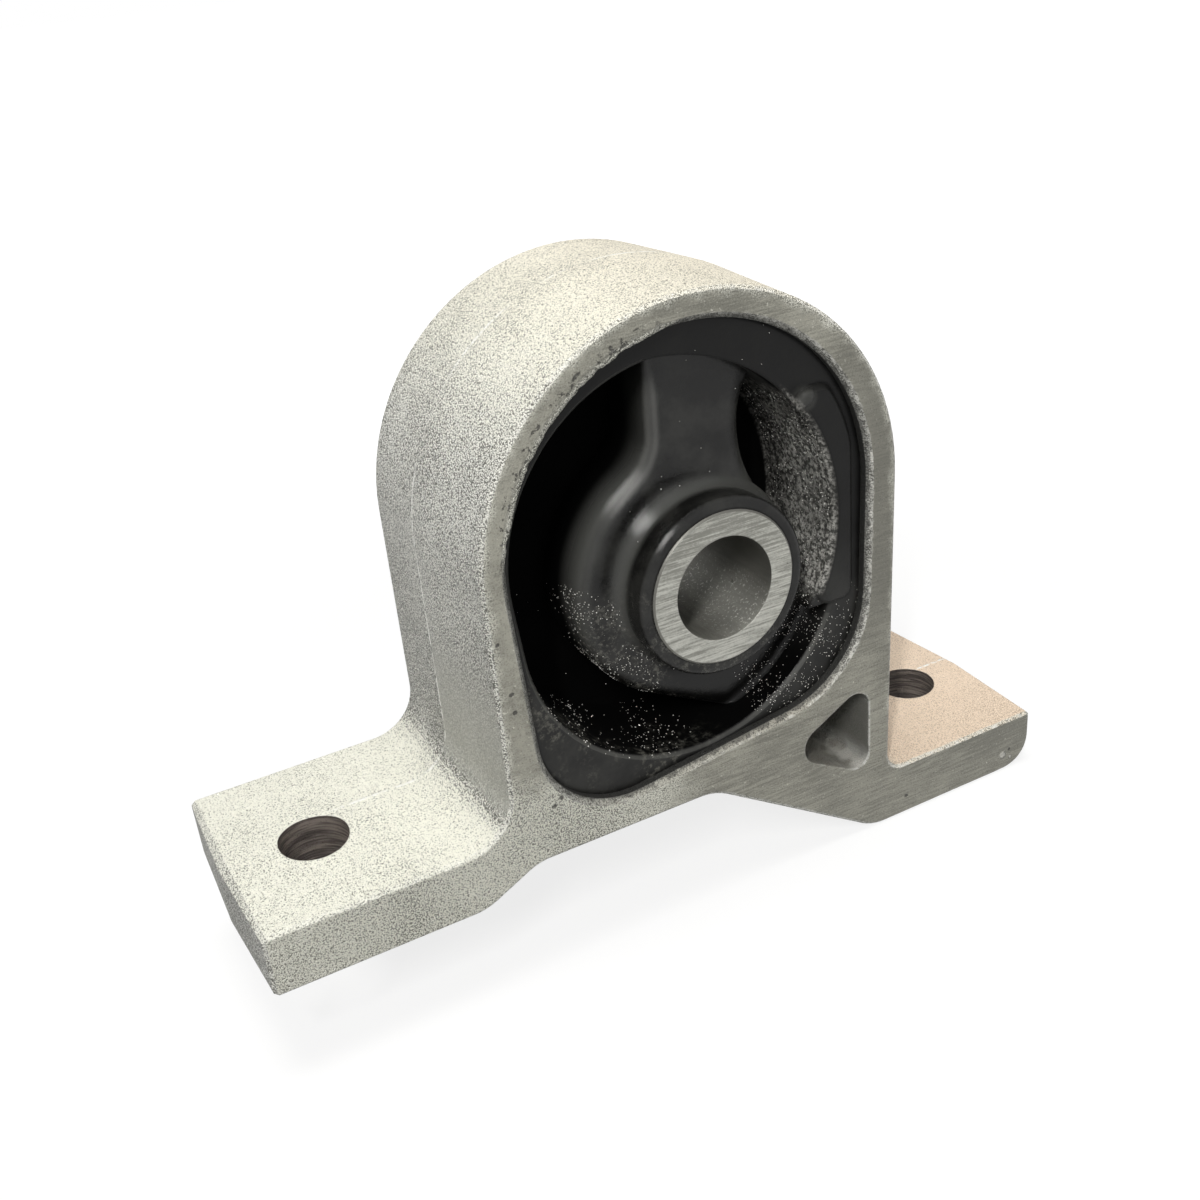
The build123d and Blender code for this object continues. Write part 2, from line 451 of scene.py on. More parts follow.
@dataclass(frozen=True)
class CastAluminium:
    """Shot-blasted cast aluminium whose front and back faces are dressed with long brushed lines."""

    granule: Colour = (0.90, 0.895, 0.84)
    between: Colour = (0.13, 0.13, 0.114)
    speck: Colour = (0.10, 0.10, 0.085)
    glint: Colour = (0.97, 0.97, 0.93)
    dressed: Colour = (0.41, 0.40, 0.358)
    dressed_dark: Colour = (0.20, 0.196, 0.174)
    wall_grey: Colour = (0.135, 0.133, 0.118)
    bright: Colour = (0.88, 0.87, 0.81)
    satin: Colour = (0.58, 0.58, 0.53)
    satin_dark: Colour = (0.40, 0.40, 0.36)
    pit_shade: Colour = (0.045, 0.043, 0.038)
    smear: Colour = (0.020, 0.020, 0.018)
    # Tints of painted light for faces that look up or to the front, warm and peach on the right foot
    painted_light_tint: Colour = (1.0, 1.0, 0.945)
    warm_light_tint: Colour = (1.0, 0.86, 0.72)
    peach_light_tint: Colour = (1.0, 0.885, 0.865)
    peach_light_bed: Colour = (0.86, 0.80, 0.70)
    drilled_dark: Colour = (0.060, 0.048, 0.042)
    drilled_pale: Colour = (0.26, 0.22, 0.19)
    metallic: float = 0.16
    roughness: float = 0.60
    grain_size: float = 0.24
    fine_size: float = 0.26
    fleck_size: float = 0.40
    cloud_size: float = 17.0
    grain_depth: float = 0.15
    edge_radius: float = 0.55
    pit_spacing: float = 8.0
    brush_pitch: float = 0.30
    brush_stretch: Triple = (0.055, 1.0, 1.0)
    brush_turn: float = -1.5
    scratch_spacing: float = 6.0
    scratch_stretch: Triple = (1.0, 0.22, 0.05)
    scratch_turn: float = 14.0
    drill_pitch: float = 0.35
    drill_stretch: Triple = (0.06, 0.06, 1.0)
    lining_half_depth: float = 18.3
    ring_centre: Pair = (-3.15, 10.5)
    ring_radius: float = 36.0
    bore_centre: Pair = (-3.8, 10.8)
    bore_radius: float = 31.2
    belt_corner: Pair = (8.7, -8.6)
    belt_reach: float = 21.0
    ridge_y: float = 2.8
    holes: tuple[Pair, ...] = ((-65.0, -2.4), (52.3, 0.0))
    hole_reach: float = 6.4
    # How straight a face looks to the front or the back, and upwards, as its painted light and its tint fade
    # in
    frontal: Pair = (0.6, 0.95)
    skyward: Pair = (0.35, 0.95)
    # Places where the skin, the dressing, the wear and the painted light and shade change
    shaded_side: Patch = Patch(z=(14.0, -26.0))
    satin_band: Patch = Patch(x=(-52.0, -46.0), y=(3.2, 2.4), z=(2.0, -14.0))
    left_foot_skin: Patch = Patch(x=(-38.0, -46.0))
    left_foot_face: Patch = Patch(x=(-41.0, -47.0))
    left_corner: Patch = Patch(x=(6.0, -26.0), z=(-12.0, -30.0))
    feet_below: Patch = Patch(z=(-34.0, -38.0))
    right_foot: Patch = Patch(x=(30.0, 36.0))
    cream_run: Patch = Patch(x=(-45.0, 25.0))
    left_arch: Patch = Patch(x=(-12.0, -24.0), z=(-22.0, -12.0))
    rubbed: Patch = Patch(x=(20.0, 29.0), z=(-22.0, -10.0))
    nicked_rim: Patch = Patch(x=(-4.0, -14.0), z=(10.0, 20.0))
    ridge_run: Patch = Patch(x=(-62.0, -58.0))
    lit_window_corner: Patch = Patch(x=(17.0, 25.0), z=(-38.5, -44.0))
    chips_from: Patch = Patch(x=(21.0, 26.5), z=(-23.0, -29.0), depth=(19.2, 19.8))
    chips_until: Patch = Patch(x=(31.6, 30.6), z=(-45.0, -43.5))
    bore_rim: Patch = Patch(depth=(20.05, 20.25))
    bore_rim_wear: Patch = Patch(x=(-4.0, 16.0))
    arch_above: float = 8.0
    half_width: float = 37.5
    rim_roll: Pair = (1.9, 0.1)
    chamfer_middle: float = 1.1
    nick_band: Pair = (1.0, 0.5)
    ridge_half: Pair = (0.42, 0.15)
    window_x: Pair = (9.0, 29.3)
    window_z: Pair = (-47.0, -22.0)
    window_top: float = -20.0
    ramp_slope: float = 0.55
    ramp_level: float = -34.5
    bore_half: Pair = (33.5, 33.0)
    least_inward: float = 4.0
    crept_height: float = 2.6
    crept_edge: Pair = (0.55, 0.15)
    # X, Z and radius of the beads and the pits on the front face
    beads: tuple[Triple, ...] = ((58.6, -53.4, 0.95), (-77.9, -40.2, 0.75), (60.5, -54.4, 0.45))
    pits: tuple[Triple, ...] = (
        (-32.2, -26.8, 0.55), (-30.9, -25.8, 0.42), (-36.7, -5.5, 0.42), (-36.6, -8.5, 0.45),
        (-37.9, 3.0, 0.32), (35.9, -53.1, 0.45), (60.2, -52.6, 0.40), (-77.2, -40.7, 0.35),
    )

    def build(self) -> bpy.types.Material:
        """Return the finish as a material.

        Returns:
            The material.
        """
        mat = NodeMaterial("cast_aluminium")
        frontal = mat.flat.fade(*self.frontal)
        skyward = mat.facing[2].fade(*self.skyward)
        distance, _ = mat.cells(self.grain_size)
        grain = distance.fade(0.70, 0.20)
        fine = mat.noise(self.fine_size, detail=2.0, roughness=0.7, stretch=(0.8, 0.8, 1.1))
        cloud = mat.noise(self.cloud_size)
        colour = self._skin(mat, grain, fine, cloud, frontal, skyward)

        # Flecks: smoother grains with a painted glint laid on each, and dark specks at random
        distance, chance = mat.cells(self.fleck_size)
        core = distance.fade(0.42, 0.26)
        fleck = chance.above(frontal.spread(0.88, 0.74)) * core
        colour = mat.layer(chance.below(0.12) * core * 0.55, colour, self.speck)
        colour = mat.layer(fleck * 0.85, colour, self.glint)
        colour = self._paint_warm_light(mat, colour, skyward)

        dressed = self._dressed(mat)
        colour = mat.layer(dressed, colour, self._brushed_face(mat, fine, cloud))
        # Painted light tint on the faces that look to the front or the back
        colour = mat.layer(frontal, colour, self.painted_light_tint, Blend.MULTIPLY)
        front = mat.flat.fade(0.9, 0.98) * mat.xyz[1].below(0.0)
        # Beads are raised and painted lighter, as painted highlight
        bead = self._spots(mat, self.beads) * front
        colour = mat.layer(bead * 0.45, colour, self.bright)
        # Pits and nicks are dented and painted dark as painted shade
        nick = self._nicks(mat).most(self._spots(mat, self.pits) * front)
        colour = mat.layer(nick * 0.85, colour, self.pit_shade)

        rolled = mat.rolled(self.edge_radius * MM)
        broken = mat.noise(1.3, detail=4.0, roughness=0.75).fade(0.48, 0.62)
        worn = mat.edge_mask(rolled, 0.012, 0.06) * broken
        colour = mat.layer(worn * 0.60, colour, self.bright)
        # The parting line's ridge is raised and its dots are painted bright as painted highlight
        ridge = self._ridge(mat)
        colour = mat.layer(ridge * 0.9, colour, self.glint)
        colour = mat.layer(self._scratches(mat) * 0.5, colour, self.bright)
        colour = self._window(mat, colour, cloud, rolled)
        colour = self._bore(mat, colour)
        drilling = mat.noise(self.drill_pitch, stretch=self.drill_stretch).fade(0.36, 0.66)
        drilled = mat.layer(drilling, self.drilled_dark, self.drilled_pale)
        mat.put("Base Color", mat.layer(self._bolt_holes(mat), colour, drilled))
        mat.put("Roughness", (self.roughness - fleck * 0.40 - dressed * 0.16 - worn * 0.22).clamped())
        mat.put("Metallic", self.metallic)

        height = (grain * 0.55 + fine * 1.1 + fleck * 0.35) * dressed.spread(1.0, 0.22)
        height = height + self._brush(mat) * 0.30 * dressed
        height = height + mat.noise(4.0) * 1.2 - nick * 2.2 + ridge * 0.8 + bead * 2.5
        mat.put("Normal", mat.bump(height, self.grain_depth, rolled))
        return mat.material

    def _skin(
        self, mat: NodeMaterial, grain: Value, fine: Value, cloud: Value, frontal: Value, skyward: Value
    ) -> Value:
        """Return the colour of the blasted skin, with the smooth band low on the ring's left side and painted
        light: faces are lighter the more they look up or to the front, and the lower left side is darker as
        painted shade.

        Args:
            mat: Material under construction.
            grain: Pattern of the round grains.
            fine: Fine noise of the skin.
            cloud: Broad noise of the skin.
            frontal: How straight a face looks to the front or the back.
            skyward: How straight a face looks up.

        Returns:
            The skin's colour.
        """
        # Painted light: tops and front faces lighter, the lower left-facing side darker as painted shade
        side = mat.facing[0].fade(-0.6, -0.9) * self.shaded_side.mask(mat)
        tone = grain * 0.42 + fine * 0.80 + (cloud - 0.5) * 0.25 + skyward * 0.13
        tone = tone + frontal * 0.06 - side * 0.135 + self.left_foot_skin.mask(mat) * 0.03
        colour = mat.layer(tone.fade(0.40, 0.67), self.between, self.granule)
        band = mat.facing[0].fade(-0.80, -0.97) * self.satin_band.mask(mat)
        satin = mat.layer(fine.fade(0.35, 0.65), self.satin_dark, self.satin)
        return mat.layer(band * 0.75, colour, satin)

    def _paint_warm_light(self, mat: NodeMaterial, colour: Value, skyward: Value) -> Value:
        """Paint warm light on the surfaces that face up, most of all the right foot.

        Args:
            mat: Material under construction.
            colour: Colour that it is laid over.
            skyward: How straight a face looks up.

        Returns:
            The tinted colour.
        """
        foot = self.right_foot.mask(mat) * mat.facing[2].fade(0.6, 0.95)
        colour = mat.layer(foot * 0.50, colour, self.peach_light_bed)
        cream = skyward * self.cream_run.mask(mat)
        colour = mat.layer(cream * 0.50, colour, self.warm_light_tint, Blend.MULTIPLY)
        colour = mat.layer(skyward, colour, self.painted_light_tint, Blend.MULTIPLY)
        return mat.layer(foot * 0.8, colour, self.peach_light_tint, Blend.MULTIPLY)

    def _dressed(self, mat: NodeMaterial) -> Value:
        """Return a mask of the dressed faces, which leave the left foot and the corner beside it as cast.

        Args:
            mat: Material under construction.

        Returns:
            A value that is one where the mask covers.
        """
        as_cast = self.left_corner.mask(mat).most(self.left_foot_face.mask(mat))
        ragged = (mat.noise(5.0, detail=4.0) - 0.5) * 0.8
        cover = (1.0 - as_cast + ragged).fade(0.10, 0.75).spread(0.12, 1.0)
        return mat.flat.fade(0.985, 0.998) * (cover * self._rolled_rim(mat).spread(1.0, 0.35))

    def _rolled_rim(self, mat: NodeMaterial) -> Value:
        """Return a ragged mask of the ring's outer rim, where the dressed face rolls over into the skin.

        Args:
            mat: Material under construction.

        Returns:
            A value that is one where the mask covers.
        """
        x, _, z = mat.xyz
        sides = abs(x - self.ring_centre[0])
        arch = mat.reach(x, z, self.ring_centre) * z.above(self.arch_above)
        feet = sides.above(self.half_width).most(self.feet_below.mask(mat))
        ragged = (mat.noise(3.0, detail=4.0) - 0.5) * 4.0
        reach = sides.most(arch) * (1.0 - feet) + ragged
        return reach.fade(self.ring_radius - self.rim_roll[0], self.ring_radius - self.rim_roll[1])

    def _brush(self, mat: NodeMaterial) -> Value:
        """Return the pattern of the long lines that the dressing left along the feet."""
        return mat.noise(self.brush_pitch, roughness=0.7, stretch=self.brush_stretch, turn=self.brush_turn)

    def _brushed_face(self, mat: NodeMaterial, fine: Value, cloud: Value) -> Value:
        """Return the colour of the dressed faces, patchy on the left arch and duller on the right.

        Args:
            mat: Material under construction.
            fine: Fine noise of the skin.
            cloud: Broad noise of the skin.

        Returns:
            The faces' colour.
        """
        left_arch = self.left_arch.mask(mat)
        patchy = mat.noise(1.3, detail=5.0, roughness=0.75)
        lines = mat.layer(left_arch * 0.85, self._brush(mat), patchy)
        tone = lines * 0.55 + fine * 0.45 + left_arch * 0.05 + (cloud - 0.5) * 0.5
        face = mat.layer(tone.fade(0.36, 0.64), self.dressed_dark, self.dressed)
        # Small painted glints on the dressed faces
        shine = mat.noise(0.7, detail=2.0, roughness=0.8).fade(0.66, 0.74)
        face = mat.layer(shine * 0.55, face, self.bright)
        return mat.layer(self.rubbed.mask(mat) * 0.66, face, self.wall_grey)

    def _spots(self, mat: NodeMaterial, spots: tuple[Triple, ...]) -> Value:
        """Return a mask of ragged spots, each given by its X, Z and radius.

        Args:
            mat: Material under construction.
            spots: X, Z and radius of each spot.

        Returns:
            A value that is one where the mask covers.
        """
        x, _, z = mat.xyz
        wobble = (mat.noise(0.8) - 0.5) * 0.8
        reaches = [mat.reach(x, z, (across, up)) + wobble for across, up, _ in spots]
        return reduce(Value.most, [reach.fade(spot[2], 0.5 * spot[2]) for reach, spot in zip(reaches, spots)])

    def _nicks(self, mat: NodeMaterial) -> Value:
        """Return a mask of small pits in the faces and of nicks along the bore's upper left rim, where shade
        is painted.

        Args:
            mat: Material under construction.

        Returns:
            A value that is one where the mask covers.
        """
        x, _, z = mat.xyz
        distance, _ = mat.cells(self.pit_spacing)
        size = mat.noise(14.0, detail=2.0).fade(0.50, 0.62).spread(0.055, 0.135)
        pit = (distance + mat.noise(1.4) * 0.12).below(size) * mat.flat.fade(0.8, 0.95)
        rim = abs(mat.reach(x, z, self.bore_centre) - self.bore_radius - self.chamfer_middle)
        torn = mat.noise(1.5, detail=4.0, roughness=0.75).fade(0.55, 0.60)
        return pit.most(rim.fade(*self.nick_band) * self.nicked_rim.mask(mat) * torn)

    def _ridge(self, mat: NodeMaterial) -> Value:
        """Return the faint dotted ridge of the parting line, near the middle of the casting's depth.

        Args:
            mat: Material under construction.

        Returns:
            A value that is one where the mask covers.
        """
        line = abs(mat.xyz[1] - self.ridge_y).fade(*self.ridge_half) * self.ridge_run.mask(mat)
        dotted = mat.noise(1.2).fade(0.36, 0.54) * mat.noise(16.0, detail=2.0).fade(0.34, 0.50)
        return line * dotted * mat.flat.fade(0.5, 0.2)

    def _scratches(self, mat: NodeMaterial) -> Value:
        """Return a mask of a few long fine scratches on the ring's side and the front faces."""
        distance, _ = mat.cells(self.scratch_spacing, self.scratch_stretch, self.scratch_turn)
        return distance.fade(0.024, 0.008) * mat.noise(12.0, detail=2.0).fade(0.54, 0.62)

    def _window(self, mat: NodeMaterial, colour: Value, cloud: Value, rolled: Value) -> Value:
        """Lay in the three-cornered window's smooth walls, painted dark grey as shade, a painted highlight in
        their low corner and the chips on its rim.

        Args:
            mat: Material under construction.
            colour: Colour that it is laid over.
            cloud: Broad noise of the skin.
            rolled: Normal that rolls over the edges.

        Returns:
            The combined colour.
        """
        x, _, z = mat.xyz
        across = x.above(self.window_x[0]) * x.below(self.window_x[1])
        up = z.above(self.window_z[0]) * z.below(self.window_z[1])
        away = mat.reach(x, z, self.belt_corner).above(self.belt_reach)
        over_ramp = (z + x * self.ramp_slope).above(self.ramp_level)
        walls = across * up * away * over_ramp * mat.flat.fade(0.90, 0.60)
        # The walls are painted dark grey as shade, with a painted highlight in their low corner
        smooth = mat.layer(cloud.fade(0.40, 0.62), self.wall_grey, self.dressed_dark)
        spark = mat.noise(3.5, detail=1.0).fade(0.36, 0.60).spread(0.05, 0.45)
        smooth = mat.layer(self.lit_window_corner.mask(mat) * spark, smooth, self.glint)
        colour = mat.layer(walls * 0.86, colour, smooth)
        chipped = self.chips_from.mask(mat) * self.chips_until.mask(mat)
        torn = mat.noise(1.1, detail=4.0, roughness=0.75).fade(0.40, 0.52)
        chips = chipped * torn * mat.edge_mask(rolled, 0.001, 0.02)
        return mat.layer(chips * 0.9, colour, self.glint)

    def _bore(self, mat: NodeMaterial, colour: Value) -> Value:
        """Lay in the bore's wall, painted dark grey as shade, its chipped rim and the ragged rubber that
        crept up it from the lining.

        Args:
            mat: Material under construction.
            colour: Colour that it is laid over.

        Returns:
            The combined colour.
        """
        x, _, z = mat.xyz
        facing_x, _, facing_z = mat.facing
        inward = facing_x * (self.ring_centre[0] - x) + facing_z * (self.ring_centre[1] - z)
        near = abs(x - self.ring_centre[0]).fade(*self.bore_half)
        corner = mat.reach(x, z, self.belt_corner).below(self.belt_reach)
        window_spared = corner.most(x.below(self.window_x[0]).most(z.above(self.window_top)))
        wall = inward.above(self.least_inward) * mat.flat.fade(0.86, 0.60) * (near * window_spared)
        # Painted shade on the bore's inward wall
        colour = mat.layer(wall * 0.8, colour, self.wall_grey)
        rim = mat.flat.fade(0.60, 0.68) * mat.flat.fade(0.86, 0.76) * self.bore_rim.mask(mat)
        chipped = mat.noise(1.6, detail=4.0, roughness=0.7).fade(0.46, 0.60)
        chipped = chipped * self.bore_rim_wear.mask(mat).spread(0.25, 0.75)
        colour = mat.layer(rim * chipped, colour, self.bright)
        ragged = mat.noise(1.8, detail=4.0, roughness=0.7) * self.crept_height
        crept = (mat.depth - self.lining_half_depth - ragged).fade(*self.crept_edge)
        return mat.layer(wall * crept, colour, self.smear)

    def _bolt_holes(self, mat: NodeMaterial) -> Value:
        """Return a mask of the drilled walls of the bolt holes.

        Args:
            mat: Material under construction.

        Returns:
            A value that is one where the mask covers.
        """
        x, y, _ = mat.xyz
        left, right = (mat.reach(x, y, hole).below(self.hole_reach) for hole in self.holes)
        return (left + right).clamped() * abs(mat.facing[2]).fade(0.30, 0.10)


@dataclass(frozen=True)
class MouldedRubber:
    """Black moulded rubber: satin on its outer faces, matt and painted dark as shade deep in the hollows,
    with painted sheen and highlights on its rounded shoulders.
    """

    black: Colour = (0.006, 0.006, 0.0055)
    worn: Colour = (0.028, 0.028, 0.0256)
    darker_black: Colour = (0.004, 0.004, 0.004)
    deep: Colour = (0.0012, 0.0012, 0.0012)
    painted_sheen: Colour = (0.085, 0.086, 0.080)
    painted_highlight: Colour = (0.60, 0.60, 0.57)
    powder: Colour = (0.24, 0.235, 0.205)
    stop_dark: Colour = (0.060, 0.060, 0.055)
    stop_pale: Colour = (0.62, 0.61, 0.57)
    lip: Colour = (0.085, 0.085, 0.078)
    dim_reflection_tint: Colour = (0.12, 0.12, 0.12)
    specular: float = 0.27
    highlight_centre: Pair = (-14.0, 19.5)
    nib_centre: Pair = (16.4, 25.9)
    stop_centre: Pair = (-9.9, 6.3)
    stop_radius: float = 31.3
    soft_reach: float = 0.9
    web_reach: float = 2.9
    relief: float = 0.08
    wall: Patch = Patch(reach=(22.5, 24.5), depth=(18.1, 17.5))
    hollow: Patch = Patch(depth=(13.2, 8.0))
    lining: Patch = Patch(reach=(16.0, 18.0), depth=(17.6, 18.0))
    upper: Patch = Patch(z=(-12.0, 4.0))
    under: Patch = Patch(z=(-10.0, -17.0), depth=(17.0, 15.0))
    web: Patch = Patch(reach=(38.0, 30.0), depth=(16.8, 15.0))
    shoulder: Patch = Patch(z=(-15.0, -4.0), depth=(6.0, 12.0))
    shoulder_top: Patch = Patch(z=(24.0, 15.0))
    highlight_run: Pair = (7.0, 1.5)
    leg_edge: Patch = Patch(x=(-2.0, -6.0), z=(13.0, 19.0))
    highlight_streak: Patch = Patch(depth=(9.0, 13.0))
    nib_run: Pair = (2.4, 1.0)
    nib: Patch = Patch(depth=(17.5, 18.3))
    stop_edge: Pair = (0.9, 0.2)
    stop: Patch = Patch(x=(12.0, 14.0), z=(-9.5, -6.0))
    stop_shade_depth: Patch = Patch(depth=(2.0, 11.0))
    stop_top: Patch = Patch(z=(30.0, 19.0))
    lip_edge: Patch = Patch(reach=(20.0, 22.0), depth=(17.75, 17.95))
    pad_corner: Pair = (14.0, -12.0)
    powdered_hub: Patch = Patch(x=(2.0, -10.0), z=(8.0, -4.0), depth=(8.0, 12.0))
    powdered_collar: Patch = Patch(z=(-7.0, -12.0), depth=(15.0, 17.0), reach=(15.2, 13.8))

    def build(self) -> bpy.types.Material:
        """Return the finish as a material.

        Returns:
            The material.
        """
        mat = NodeMaterial("moulded_rubber")
        x, _, z = mat.xyz
        hollow = (self.wall.mask(mat) * mat.flat.fade(0.75, 0.40)).most(self.hollow.mask(mat))
        lining = self.lining.mask(mat)
        upper = lining * self.upper.mask(mat)
        mottle = mat.noise(6.0, detail=4.0)
        fine = mat.noise(0.5, detail=4.0, roughness=0.7)
        flow = mat.noise(1.0, stretch=(0.15, 1.0, 1.0))

        colour = mat.layer(mottle.fade(0.35, 0.70), self.black, self.worn)
        # The upper lining is darker; below the hub and the collar the faces are painted darker as shade
        colour = mat.layer(upper * 0.85, colour, self.darker_black)
        colour = mat.layer(self.under.mask(mat) * 0.85, colour, self.darker_black)
        # Painted shade deep in the hollows
        colour = mat.layer(hollow, colour, self.deep)

        # Painted sheen on the rounded shoulders of the leg and the hub, and a painted highlight where the leg
        # runs into the hub and along the leg's edge
        web = self.web.mask(mat)
        roll = mat.rolled(web.spread(self.soft_reach * MM, self.web_reach * MM))
        lean = abs(roll.split()[1])
        shoulder = lean.fade(0.97, 0.76) * self.shoulder.mask(mat) * web
        shoulder = shoulder * self.shoulder_top.mask(mat).spread(0.40, 1.0)
        colour = mat.layer(shoulder, colour, self.painted_sheen)
        leg_edge = self.leg_edge.mask(mat) * 0.30
        along = mat.reach(x, z, self.highlight_centre).fade(*self.highlight_run).most(leg_edge)
        highlight_streak = abs(lean - 0.80).fade(0.13, 0.03) * along * (web * self.highlight_streak.mask(mat))
        colour = mat.layer(highlight_streak, colour, self.painted_highlight)
        # The pad's nib and the face around it take the painted sheen, as painted highlight
        nib = mat.reach(x, z, self.nib_centre).fade(*self.nib_run) * self.nib.mask(mat)
        colour = mat.layer(nib * 0.6, colour, self.painted_sheen)

        # The stop's pale rough texture is partly dust and rubbing and partly painted light; it thins out
        # deeper in as painted shade, and towards its top
        stop = self._stop_face(mat)
        rubbed = mat.layer((fine * 0.6 + flow * 0.4).fade(0.43, 0.62), self.stop_dark, self.stop_pale)
        cover = stop * mottle.fade(0.35, 0.6).spread(0.55, 1.0) * self.stop_shade_depth.mask(mat).spread(0.35, 1.0)
        colour = mat.layer(cover * self.stop_top.mask(mat).spread(0.40, 1.0), colour, rubbed)
        # Painted highlight along the lining's lip, weaker on the pad
        lip = self.lip_edge.mask(mat) * mat.flat.fade(0.97, 0.85)
        pad = x.above(self.pad_corner[0]) * z.above(self.pad_corner[1])
        colour = mat.layer(lip * pad.spread(1.0, 0.15) * mottle.spread(0.2, 1.0), colour, self.lip)
        powder = self._powder(mat)
        mat.put("Base Color", mat.layer(powder, colour, self.powder))

        rough = mottle.fade(0.30, 0.72).spread(0.15, 0.21) + lining * 0.25
        rough = rough + (hollow - shoulder).clamped() * 0.70 + stop * 0.25
        mat.put("Roughness", (rough + powder * 0.4).clamped())
        mat.put("Specular IOR Level", self.specular)
        # Reflections are dimmed in the hollows as painted shade, and partly on the upper lining
        mat.put("Specular Tint", mat.layer(hollow.most(upper * 0.45), WHITE, self.dim_reflection_tint))
        height = fine * 0.30 + flow * 0.30 + fine * stop * 2.8 + mottle
        mat.put("Normal", mat.bump(height, self.relief, roll))
        return mat.material

    def _stop_face(self, mat: NodeMaterial) -> Value:
        """Return a mask of the rough rubbed face of the stop, inside the lining on the right.

        Args:
            mat: Material under construction.

        Returns:
            A value that is one where the mask covers.
        """
        x, _, z = mat.xyz
        on_face = abs(mat.reach(x, z, self.stop_centre) - self.stop_radius).fade(*self.stop_edge)
        return on_face * self.stop.mask(mat)

    def _powder(self, mat: NodeMaterial) -> Value:
        """Return a mask of pale powder, low on the left of the hub and under the collar's rim.

        Args:
            mat: Material under construction.

        Returns:
            A value that is one where the mask covers.
        """
        hub = mat.noise(7.0).fade(0.42, 0.62) * self.powdered_hub.mask(mat)
        collar = self.powdered_collar.mask(mat)
        film = mat.noise(0.9, detail=4.0, roughness=0.7).fade(0.46, 0.70)
        return film * (hub * 0.55).most(collar * 0.30)


@dataclass(frozen=True)
class SawnSteel:
    """Steel tube with sawn ends and a duller bore."""

    bright: Colour = (0.56, 0.56, 0.51)
    dark: Colour = (0.24, 0.24, 0.212)
    bore: Colour = (0.27, 0.265, 0.236)
    streak_share: float = 0.72
    shadow_share: float = 0.55
    glint: Colour = (0.85, 0.85, 0.80)
    stain: Colour = (0.05, 0.045, 0.04)
    metallic: float = 0.45
    saw_pitch: float = 0.34
    saw_stretch: Triple = (0.05, 1.0, 1.0)
    saw_turn: float = 14.0
    drawn_pitch: float = 0.7
    drawn_stretch: Triple = (1.0, 0.12, 1.0)
    relief: float = 0.07
    edge_radius: float = 0.25
    shaded_face: Patch = Patch(z=(-2.0, 11.0))
    lit_bore: Patch = Patch(z=(3.0, -8.5))
    lit_low_right: Patch = Patch(x=(-3.0, 5.0), z=(-1.0, -7.0))

    def build(self) -> bpy.types.Material:
        """Return the finish as a material.

        Returns:
            The material.
        """
        mat = NodeMaterial("sawn_steel")
        end = mat.flat.fade(0.90, 0.98)
        saw = mat.noise(
            self.saw_pitch, detail=4.0, roughness=0.75, stretch=self.saw_stretch, turn=self.saw_turn
        )
        fine = mat.noise(0.35, roughness=0.7)
        tone = saw * 0.8 + fine * 0.2 - self.shaded_face.mask(mat) * 0.07
        face = mat.layer(tone.fade(0.36, 0.62), self.dark, self.bright)
        drawn = mat.noise(self.drawn_pitch, detail=4.0, roughness=0.7, stretch=self.drawn_stretch)
        wall = mat.layer(drawn.fade(0.35, 0.68), shade(self.bore, self.streak_share), self.bore)
        wall = mat.layer(self.lit_bore.mask(mat), shade(self.bore, self.shadow_share), wall)
        # Painted light: the bore is lighter low on the right, with painted glints
        lit_low_right = self.lit_low_right.mask(mat)
        wall = mat.layer(lit_low_right * 0.35, wall, self.bright)
        sparkle = mat.noise(0.45, detail=2.0, roughness=0.8).fade(0.58, 0.66)
        wall = mat.layer(sparkle * lit_low_right, wall, self.glint)
        stain = mat.noise(1.7).fade(0.70, 0.75)
        mat.put("Base Color", mat.layer(stain * 0.6, mat.layer(end, wall, face), self.stain))
        mat.put("Metallic", self.metallic)
        mat.put("Roughness", end.spread(0.42, 0.50) - fine.fade(0.55, 0.70) * 0.14)
        height = mat.layer(end, drawn * 0.6, saw)
        mat.put("Normal", mat.bump(height, self.relief, mat.rolled(self.edge_radius * MM)))
        return mat.material


@dataclass(frozen=True)
class MetalDust:
    """Fine pale swarf and blasting dust that lies on the rubber."""

    dull: Colour = (0.50, 0.49, 0.44)
    bright: Colour = (0.97, 0.96, 0.92)
    metallic: float = 0.35

    def build(self) -> bpy.types.Material:
        """Return the finish as a material.

        Returns:
            The material.
        """
        mat = NodeMaterial("metal_dust")
        tone = mat.noise(0.8, detail=2.0)
        mat.put("Base Color", mat.layer(tone.fade(0.42, 0.60), self.dull, self.bright))
        mat.put("Roughness", tone.spread(0.55, 0.25))
        mat.put("Metallic", self.metallic)
        return mat.material


@dataclass(frozen=True)
class StudioFloor:
    """Plain pale floor, white to the camera and in reflections except where the object shades it."""

    grey: Colour = (0.22, 0.22, 0.22)
    roughness: float = 0.9
    glow_near: float = 0.80
    glow_gain: float = 0.20
    near: float = 120.0
    far: float = 260.0

    def build(self) -> bpy.types.Material:
        """Return the finish as a material.

        Returns:
            The material.
        """
        mat = NodeMaterial("studio_floor")
        mat.put("Base Color", self.grey)
        mat.put("Roughness", self.roughness)
        mat.put("Specular IOR Level", 0.0)
        x, y, _ = mat.xyz
        glow = mat.reach(x, y).fade(self.near, self.far) * self.glow_gain + self.glow_near
        rays = [mat.outlet("ShaderNodeLightPath", name) for name in SEEING_RAYS]
        mat.put("Emission Color", WHITE)
        mat.put("Emission Strength", glow * (rays[0] + rays[1] + rays[2]).clamped())
        return mat.material


